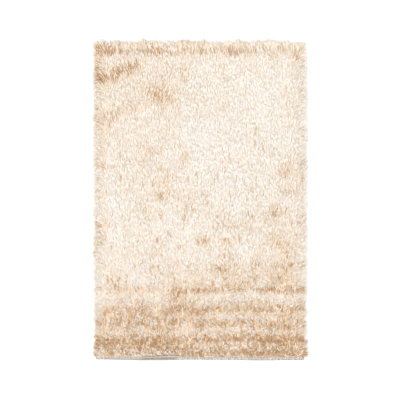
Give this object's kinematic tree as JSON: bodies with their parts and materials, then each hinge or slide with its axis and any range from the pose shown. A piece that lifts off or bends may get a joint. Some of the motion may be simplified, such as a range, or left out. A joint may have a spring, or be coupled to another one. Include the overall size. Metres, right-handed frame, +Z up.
{
  "type": "shag rug",
  "caption": "Rectangular long-pile rug: a flat woven base cloth with hemmed ends, covered in a deep leaning pile that splays past its edges.",
  "frame": {"origin": "centre of the rug's outline, on the floor that it lies on", "axes": "+X across the rug, +Y along it the way the pile leans, away from the end whose hem shows, +Z up"},
  "size_m": [1.211, 1.811, 0.0457],
  "materials": {
    "base_cloth": "plain woven backing cloth, greyish beige, matt",
    "pile": "long glossy yarn, cream to champagne, tan where the nap parts"
  },
  "bodies": {
    "root": {"base_cloth": "base_cloth", "pile": "pile"}
  },
  "joints": []
}
